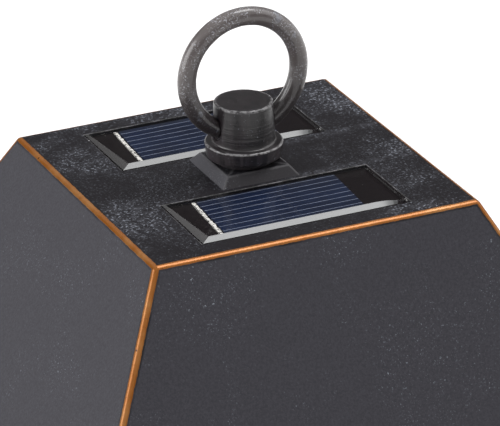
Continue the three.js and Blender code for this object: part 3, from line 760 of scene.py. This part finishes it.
def roofCasting(finishes, plateTop):
    low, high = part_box("roof_shell")
    backLow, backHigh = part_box("panel_backing_rear")
    half, plateHalf = high.x, roof["plateHalf"]
    slopeFoot = low.z + roof["bandHeight"]
    piece = addBlock("roofCasting", low, (half, half, slopeFoot), finishes["roof"], finishes["worn"])
    pickFaces(piece, lambda centre, normal: normal.z > 0.9)
    extrude((0, 0, plateTop - slopeFoot), (plateHalf / half, plateHalf / half, 1))

    # the pockets and the plinth are marked out on the plate, then sunk and raised
    endX = backHigh.x + roof["pocketGap"]
    innerY, outerY = backLow.y - roof["pocketGap"], backHigh.y + roof["pocketGap"]

    def onPlate(centre, normal):
        return normal.z > 0.9 and centre.z > plateTop - near

    for x in (endX, roof["plinthHalf"]):
        for side in (-1, 1):
            splitFaces(piece, onPlate, (side * x, 0, plateTop), (1, 0, 0))
    for y in (innerY, outerY, roof["plinthHalf"]):
        for side in (-1, 1):
            splitFaces(piece, onPlate, (0, side * y, plateTop), (0, 1, 0))
    pocketFloor = backLow.z
    pickFaces(piece, lambda centre, normal: (
        onPlate(centre, normal) and abs(centre.x) < endX and innerY < abs(centre.y) < outerY))
    extrude((0, 0, pocketFloor - plateTop))
    pickFaces(piece, lambda centre, normal: (
        onPlate(centre, normal) and max(abs(centre.x), abs(centre.y)) < roof["plinthHalf"] - near))
    taper = roof["plinthTop"] / roof["plinthHalf"]
    extrude((0, 0, roof["plinthHeight"]), (taper, taper, 1))

    # the hollow: up past the roof floor, then in step with the slope to just under the pockets
    pickFaces(piece, lambda centre, normal: normal.z < -0.9 and centre.z < low.z + near)
    bpy.ops.mesh.inset(thickness=roof["wallAcross"], depth=0)
    extrude((0, 0, slopeFoot - low.z))
    ceiling = pocketFloor - roof["pocketPan"]
    footHalf = half - roof["wallAcross"]
    ceilingHalf = footHalf - (half - plateHalf) * (ceiling - slopeFoot) / (plateTop - slopeFoot)
    extrude((0, 0, ceiling - slopeFoot), (ceilingHalf / footHalf, ceilingHalf / footHalf, 1))
    bpy.ops.mesh.inset(thickness=ceilingHalf - roof["nutRoom"], depth=0)
    extrude((0, 0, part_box("post_washer")[1].z - ceiling))
    bpy.ops.object.mode_set(mode="OBJECT")

    def outside(point):
        drawnIn = max(point.z - slopeFoot, 0) * (half - plateHalf) / (plateTop - slopeFoot)
        return abs(max(abs(point.x), abs(point.y)) - (half - drawnIn)) < near

    def onArris(a, b):
        # hips, plate edges, eaves edges and the band's corners
        if not (outside(a) and outside(b)) or min(a.z, b.z) < low.z - near:
            return False
        hip = abs(abs(a.x) - abs(a.y)) < near and abs(abs(b.x) - abs(b.y)) < near and abs(a.z - b.z) > near
        level = abs(a.z - b.z) < near and min(abs(a.z - z) for z in (low.z, slopeFoot, plateTop)) < near
        along = any(
            abs(abs(a[i]) - abs(b[i])) < near and a[i] * b[i] > 0
            and abs(abs(a[i]) - max(abs(a.x), abs(a.y))) < near for i in (0, 1))
        return hip or (level and along)

    def onPocket(a, b):
        inside = all(abs(p.z - plateTop) < near and abs(p.x) < endX + near for p in (a, b))
        if not inside:
            return False
        across = abs(a.x - b.x) < near and abs(abs(a.x) - endX) < near
        return (across and all(innerY - near < abs(p.y) < outerY + near for p in (a, b))) or (
            abs(a.y - b.y) < near and min(abs(abs(a.y) - y) for y in (innerY, outerY)) < near)

    def onPlinth(a, b):
        plinthZ = plateTop + roof["plinthHeight"]
        upright = abs(a.z - b.z) > near and min(a.z, b.z) > plateTop - near
        return upright or (abs(a.z - plinthZ) < near and abs(b.z - plinthZ) < near)

    bevelEdges(piece, onArris, roof["arris"], 4)
    bevelEdges(piece, onPocket, roof["wornWidth"], 2, 1)
    bevelEdges(piece, onPlinth, roof["plinthRound"], 3)
    closeSurface(piece)
    return finishPiece(piece, "lantern", "roof_paint", "roof_shell", smooth=30)


# ---- solar panels ----

panel = {
    "run": 1.8 * mm, "drop": 1 * mm, "frontLeftRun": 2.5 * mm, "rearLeftRun": 0.4 * mm, "rightRun": 0.8 * mm,
    "rightCorner": 0.9 * mm, "tip": 6 * mm, "tipEnd": 3.6 * mm, "tipReach": 0.97,
    "tipSplits": (3.6 * mm, 4.8 * mm, 6.2 * mm, 7.8 * mm, 9.6 * mm), "crownRound": 0.2 * mm,
    "boardRound": 0.3 * mm, "cellCorner": 0.5 * mm, "skew": 0.06,
    "ribbonLumps": 26, "lump": 0.14 * mm, "lumpSeed": 4, "ribbonLess": 0.15 * mm,
}


def leanBack(piece, front):
    # the cell was scored by hand, so its ends lean
    shiftVerts(piece, lambda place: (panel["skew"] * (place.y - front), 0, 0))


def tabRibbon(finishes, name):
    # soldered by hand, so it is lumpy along its length
    low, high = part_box(f"cell_ribbon_{name}")
    slim = Vector((panel["ribbonLess"], 0, 0))
    piece = addBlock(f"tabRibbon_{name}", low + slim, high - slim, finishes["tinned"])
    for i in range(1, panel["ribbonLumps"]):
        y = low.y + (high.y - low.y) * i / panel["ribbonLumps"]
        splitFaces(piece, lambda centre, normal: True, (0, y, 0), (0, 1, 0))
    pickVerts(piece, lambda place: place.z > high.z - near and low.y + near < place.y < high.y - near)
    bpy.ops.transform.vertex_random(offset=panel["lump"], uniform=0.6, seed=panel["lumpSeed"])
    closeSurface(piece)
    leanBack(piece, low.y)
    finishPiece(piece, "lantern", "tinned_metal", f"cell_ribbon_{name}", smooth=70)


def resinCover(finishes, name):
    low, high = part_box(f"cell_resin_{name}")
    centre, half = (low + high) / 2, (high - low) / 2
    shoulder = high.z - panel["drop"]
    piece = addBlock(
        f"resinCover_{name}", low, (high.x, high.y, shoulder), finishes["resin"], finishes["resinEdge"])
    pickFaces(piece, lambda middle, normal: normal.z > 0.9)
    scale = ((half.x - panel["run"]) / half.x, (half.y - panel["run"]) / half.y, 1)
    extrude((0, 0, panel["drop"]), scale, centre)

    # the front band narrows to a tip at its right end
    for back in panel["tipSplits"]:
        splitFaces(piece, lambda middle, normal: normal.z > 0.2, (high.x - back, 0, 0), (1, 0, 0))

    def tipShift(place):
        if place.z < high.z - near or place.y > centre.y:
            return (0, 0, 0)
        along = 1 - (high.x - place.x - panel["tipEnd"]) / panel["tip"]
        return (0, -panel["run"] * panel["tipReach"] * min(max(along, 0), 1) ** 2, 0)

    shiftVerts(piece, tipShift)

    # each end of the crown is drawn out or in
    runs = {(-1, -1): "frontLeftRun", (-1, 1): "rearLeftRun", (1, -1): "rightRun", (1, 1): "rightRun"}
    for (side, end), run in runs.items():
        pickVerts(piece, lambda place: (
            place.z > high.z - near and (place.y - centre.y) * end > 0
            and (place.x - centre.x) * side > half.x - panel["run"] - near))
        bpy.ops.transform.translate(value=(side * (panel["run"] - panel[run]), 0, 0))
    # the front bevel takes the painted reflection
    pickFaces(piece, lambda middle, normal: normal.y < -0.2 and normal.z > 0.2)
    piece.active_material_index = 1
    bpy.ops.object.material_slot_assign()
    bpy.ops.object.mode_set(mode="OBJECT")
    bevelEdges(piece, lambda a, b: (
        abs(a.z - b.z) > near and min(a.x, b.x) > high.x - 1 * mm and max(a.y, b.y) < centre.y),
        panel["rightCorner"], 5)
    bevelEdges(piece, lambda a, b: min(a.z, b.z) > high.z - near, panel["crownRound"], 2)
    closeSurface(piece)
    finishPiece(piece, "lantern", "clear_resin", f"cell_resin_{name}", smooth=20)


def solarPanel(finishes, name):
    backing = addBlock(f"panelBoard_{name}", *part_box(f"panel_backing_{name}"), finishes["panel"])
    bevelEdges(backing, lambda a, b: True, panel["boardRound"], 2)
    finishPiece(backing, "lantern", "panel_backing", f"panel_backing_{name}")

    low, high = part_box(f"solar_cell_{name}")
    cell = addBlock(f"siliconCell_{name}", low, high, finishes["cell"])
    bevelEdges(cell, lambda a, b: abs(a.z - b.z) > near, panel["cellCorner"], 1)
    leanBack(cell, low.y)
    finishPiece(cell, "lantern", "solar_cell", f"solar_cell_{name}")
    tabRibbon(finishes, name)
    resinCover(finishes, name)


# ---- ring and its post ----

post = {
    "sides": 96, "neck": 8.5 * mm, "flange": 11.35 * mm, "flangeFoot": 11.0 * mm, "foot": 9.05 * mm,
    "head": 8.56 * mm, "stud": 2.5 * mm, "neckHeight": 1.45 * mm, "flangeHeight": 4.5 * mm,
    "flangeRound": 0.7 * mm, "footRound": 0.6 * mm, "chamfer": 0.5 * mm, "gap": 0.3 * mm, "seat": 8.4 * mm,
    "pinLess": 0.35 * mm, "headWear": 0.75 * mm, "flangeWear": 0.5 * mm,
}


def flangeSpan(plateTop):
    low = plateTop + roof["plinthHeight"] + post["neckHeight"]
    return low, low + post["flangeHeight"]


def arc(middle, radius, start, end, steps):
    angles = [math.radians(start + (end - start) * i / steps) for i in range(steps + 1)]
    return [(middle[0] + radius * math.cos(a), middle[1] + radius * math.sin(a)) for a in angles]


def rodAlongX(name, radius, start, end, height, *finishes):
    rod = turnProfile(name, [(radius, start), (radius, end)], 48, *finishes)
    return movePiece(rod, (0, 0, height), (0, math.pi / 2, 0))


def ringPlan():
    # the ring's own sizes, and the line that it swings on
    low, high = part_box("hanging_ring")
    bar = (high.y - low.y) / 2
    radius = (high.x - low.x) / 2 - bar
    swing = next(j for j in frame["record"]["behaviour"]["joints"] if j["name"] == "ring_swing")
    return bar, radius, high.z - bar - radius, swing["pos_m"][2]


def ringPost(finishes, plateTop):
    low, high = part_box("ring_post")
    flangeLow, flangeHigh = flangeSpan(plateTop)
    rim, foot, top = post["flangeRound"], post["footRound"], post["chamfer"]
    piece = turnProfile("ringPost", [
        (post["stud"], low.z), (post["stud"], flangeLow - post["neckHeight"]),
        (post["neck"], flangeLow - post["neckHeight"]), (post["neck"], flangeLow),
        *arc((post["flangeFoot"] - rim, flangeLow + rim), rim, -90, 0, 5),
        *arc((post["flange"] - rim, flangeHigh - rim), rim, 0, 90, 6),
        *arc((post["foot"] + foot, flangeHigh + foot), foot, 270, 180, 4),
        *arc((post["head"] - top, high.z - top), top, 0, 90, 4),
    ], post["sides"], finishes["iron"])

    # flats for the ring's two ends, and the hole for its pin
    bar, radius, ringHeight, pinHeight = ringPlan()
    reach = post["foot"] + 1 * mm
    rise = ringHeight - math.sqrt((radius - bar) ** 2 - post["foot"] ** 2) - pinHeight
    for side in (-1, 1):
        ends = sorted((side * post["seat"], side * reach))
        combine(piece, rodAlongX("seatTool", rise + post["gap"], *ends, pinHeight))
    combine(piece, rodAlongX("holeTool", bar - post["pinLess"] + post["gap"], -reach, reach, pinHeight))
    finishPiece(piece, "lantern", "iron_paint", "ring_post", smooth=32)


ringShape = {"around": 160, "section": 32, "unevenness": 0.05 * mm, "seed": 7, "pinInto": 1 * mm}


def hangingRing(finishes):
    bar, radius, ringHeight, pinHeight = ringPlan()
    mouth = post["seat"] + post["gap"]
    uneven = ringShape["unevenness"]
    deselectAll()
    bpy.ops.mesh.primitive_torus_add(
        major_segments=ringShape["around"], minor_segments=ringShape["section"], major_radius=radius,
        minor_radius=bar - uneven / 2, rotation=(math.pi / 2, 0, 0), location=(0, 0, ringHeight))
    piece = keepPrimitive("hangingRing", finishes["ring"])
    openEdit(piece, "VERT")
    bpy.ops.mesh.select_all(action="SELECT")
    bpy.ops.transform.vertex_random(offset=uneven, uniform=0, normal=1, seed=ringShape["seed"])
    bpy.ops.mesh.vertices_smooth(factor=0.5, repeat=2)
    bpy.ops.object.mode_set(mode="OBJECT")

    # the bar's two ends turn in on one line and meet inside the post
    mouthLow = (-mouth, -mouth, ringHeight - 2 * radius)
    combine(piece, addBlock("mouthTool", mouthLow, (mouth, mouth, ringHeight)))
    end = mouth + ringShape["pinInto"]
    combine(piece, rodAlongX("pin", bar - post["pinLess"], -end, end, pinHeight, finishes["ring"]), "UNION")
    finishPiece(piece, "ring", "iron_paint", "hanging_ring", smooth=40)


# ---- body ----

body = {"arris": 1.1 * mm, "softEdge": 0.45 * mm, "lightEdge": 0.7 * mm, "stile": 8 * mm, "rail": 12 * mm,
        "muntin": 4 * mm, "upperLight": 20 * mm, "upperLights": 3}


def cornerPost(finishes, corner):
    low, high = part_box(f"corner_post_{corner}")
    piece = addBlock(f"cornerPost_{corner}", low, high, finishes["body"], finishes["copper"])
    outX = low.x if low.x < 0 else high.x
    outY = low.y if low.y < 0 else high.y

    def outerSides(a, b):
        # how many of the post's two outer sides an upright edge is on
        upright = abs(a.z - b.z) > near and abs(a.x - b.x) < near
        return upright * ((abs(a.x - outX) < near) + (abs(a.y - outY) < near))

    bevelEdges(piece, lambda a, b: outerSides(a, b) == 2, body["arris"], 4, 1)
    bevelEdges(piece, lambda a, b: outerSides(a, b) == 1, body["softEdge"], 2)
    finishPiece(piece, "lantern", "body_paint", f"corner_post_{corner}", smooth=40)


def sideFrame(finishes):
    # the front one, drawn flat, its lights cut out, then given its thickness
    low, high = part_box("side_frame_front")
    deselectAll()
    bpy.ops.mesh.primitive_plane_add(
        size=1, rotation=(math.pi / 2, 0, 0), location=((low.x + high.x) / 2, low.y, (low.z + high.z) / 2))
    bpy.context.object.scale = (high.x - low.x, high.z - low.z, 1)
    piece = keepPrimitive("sideFrame_front", finishes["body"], finishes["copper"])
    lightX = high.x - body["stile"]
    lowZ, highZ = low.z + body["rail"], high.z - body["rail"]
    barTop = highZ - body["upperLight"]
    barLow = barTop - body["muntin"]
    width = (2 * lightX - (body["upperLights"] - 1) * body["muntin"]) / body["upperLights"]
    for z in (lowZ, barLow, barTop, highZ):
        splitFaces(piece, lambda centre, normal: True, (0, 0, z), (0, 0, 1))
    for x in (-lightX, lightX):
        splitFaces(piece, lambda centre, normal: True, (x, 0, 0), (1, 0, 0))
    lights = [(-lightX, lightX, lowZ, barLow)]
    for i in range(body["upperLights"]):
        x = -lightX + i * (width + body["muntin"])
        lights.append((x, x + width, barTop, highZ))
        for edge in (x, x + width):
            if abs(edge) < lightX - near:
                splitFaces(piece, lambda centre, normal: barTop < centre.z < highZ, (edge, 0, 0), (1, 0, 0))
    pickFaces(piece, lambda centre, normal: any(
        x0 < centre.x < x1 and z0 < centre.z < z1 for x0, x1, z0, z1 in lights))
    bpy.ops.mesh.delete(type="FACE")
    bpy.ops.mesh.select_all(action="SELECT")
    extrude((0, high.y - low.y, 0))
    closeSurface(piece)

    def onLight(a, b):
        if abs(a.y - low.y) > near or abs(b.y - low.y) > near:
            return False
        middle = (a + b) / 2
        for x0, x1, z0, z1 in lights:
            upright = min(abs(middle.x - x0), abs(middle.x - x1)) < near and z0 - near < middle.z < z1 + near
            level = min(abs(middle.z - z0), abs(middle.z - z1)) < near and x0 - near < middle.x < x1 + near
            if (upright and abs(a.x - b.x) < near) or (level and abs(a.z - b.z) < near):
                return True
        return False

    bevelEdges(piece, onLight, body["lightEdge"], 3, 1)
    return piece


def sideFrames(finishes):
    first = sideFrame(finishes)
    for side, quarter in (("right", 1), ("rear", 2), ("left", 3)):
        other = movePiece(copyPiece(first, f"sideFrame_{side}"), turn=(0, 0, quarter * math.pi / 2))
        finishPiece(other, "lantern", "body_paint", f"side_frame_{side}", smooth=40)
    finishPiece(first, "lantern", "body_paint", "side_frame_front", smooth=40)


# ---- base and feet ----

base = {
    "flare": 4 * mm, "toe": 3.5 * mm, "shoulder": 1.6 * mm, "copper": 1.1 * mm, "wall": 2.5 * mm,
    "cove": 0.8 * mm, "curbGap": 0.3 * mm, "curbWide": 2 * mm, "deck": 3 * mm,
}


def basePan(finishes):
    low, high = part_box("base_pan")
    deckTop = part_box("corner_post_front_left")[0].z
    toeTop, shoulderLow = low.z + base["toe"], deckTop - base["shoulder"]
    topHalf = high.x - base["flare"]
    coveHalf = topHalf - base["cove"]
    piece = addBlock("basePan", low, (high.x, high.y, toeTop), finishes["body"], finishes["copper"])
    pickFaces(piece, lambda centre, normal: normal.z > 0.9)
    extrude((0, 0, shoulderLow - toeTop), (coveHalf / high.x, coveHalf / high.x, 1))
    extrude((0, 0, 0), (topHalf / coveHalf, topHalf / coveHalf, 1))
    extrude((0, 0, base["shoulder"]))

    # the curb that the frames and panes stand round, then the hollow underneath
    curb = -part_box("glass_pane_front")[1].y - base["curbGap"]
    bpy.ops.mesh.inset(thickness=topHalf - curb, depth=0)
    extrude((0, 0, high.z - deckTop))
    bpy.ops.mesh.inset(thickness=base["curbWide"], depth=0)
    extrude((0, 0, deckTop - high.z))
    pickFaces(piece, lambda centre, normal: normal.z < -0.9 and centre.z < low.z + near)
    bpy.ops.mesh.inset(thickness=base["flare"] + base["wall"], depth=0)
    extrude((0, 0, deckTop - base["deck"] - low.z))
    closeSurface(piece)
    for level, half in ((deckTop, topHalf), (toeTop, high.x)):
        bevelEdges(piece, lambda a, b: all(
            abs(p.z - level) < near and abs(max(abs(p.x), abs(p.y)) - half) < near for p in (a, b)),
            base["copper"], 3, 1)
    finishPiece(piece, "lantern", "body_paint", "base_pan", smooth=35)


footShape = {  # how far inside its own radius, and how far up from the floor or down from the top
    "fromFloor": ((1.4 * mm, 0), (0.5 * mm, 0.3 * mm), (0.1 * mm, 1 * mm)),
    "fromTop": ((0, 0.8 * mm), (0.3 * mm, 0)), "sides": 40,
}


def rubberFoot(finishes, corner):
    low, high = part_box(f"foot_{corner}")
    radius = (high.x - low.x) / 2
    profile = [(radius - inside, low.z + up) for inside, up in footShape["fromFloor"]]
    profile += [(radius - inside, high.z - down) for inside, down in footShape["fromTop"]]
    piece = turnProfile(f"rubberFoot_{corner}", profile, footShape["sides"], finishes["rubber"])
    movePiece(piece, ((low.x + high.x) / 2, (low.y + high.y) / 2, 0))
    finishPiece(piece, "lantern", "foot_rubber", f"foot_{corner}")


# ---- pieces carried over from the model ----

carried = {  # each finish, and how the names of its pieces start
    "body": ("roof_floor",), "wrap": ("battery_cell",), "tinned": ("battery_spring", "battery_contact"),
    "steel": ("post_washer", "post_nut", "roof_screw", "post_screw", "base_screw", "door_pin"),
    "plastic": ("battery_holder", "battery_door", "switch_body", "switch_slider"), "amber": ("glass_pane",),
    "greenBoard": ("circuit_board",), "whiteBoard": ("lamp_board",), "phosphor": ("lamp_emitter",),
    "frosted": ("lamp_diffuser",), "lead": ("panel_lead", "battery_lead", "lamp_lead"),
}


def paintCarried(finishes):
    for name, node in frame["nodes"].items():
        for finish, starts in carried.items():
            if name.startswith(starts):
                node.data.materials.clear()
                node.data.materials.append(finishes[finish])


# ---- the whole lantern ----

corners = ("front_left", "front_right", "rear_left", "rear_right")
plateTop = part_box("roof_shell")[1].z - roof["plinthHeight"]

placeCamera(Vector((0, 0, plateTop)))
lightStudio()
bpy.context.scene.view_settings.view_transform = "Standard"
deselectAll()
bpy.ops.mesh.primitive_plane_add(size=studio["floorSize"])
floor = keepPrimitive("floor")
floorTone = grey(studio["floorTone"])
floor.data.materials.append(
    Finish("floorPaint", Base_Color=floorTone, Roughness=0.8, Specular_IOR_Level=0.1).material)
print("camera, lights and floor in place")

finishes = makeFinishes(plateTop, *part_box("solar_cell_rear"))
paintCarried(finishes)
print("finishes made")
roofCasting(finishes, plateTop)
for name in ("front", "rear"):
    solarPanel(finishes, name)
print("roof and panels made")
ringPost(finishes, plateTop)
hangingRing(finishes)
print("ring and post made")
for corner in corners:
    cornerPost(finishes, corner)
    rubberFoot(finishes, corner)
sideFrames(finishes)
basePan(finishes)
print("body and base made")
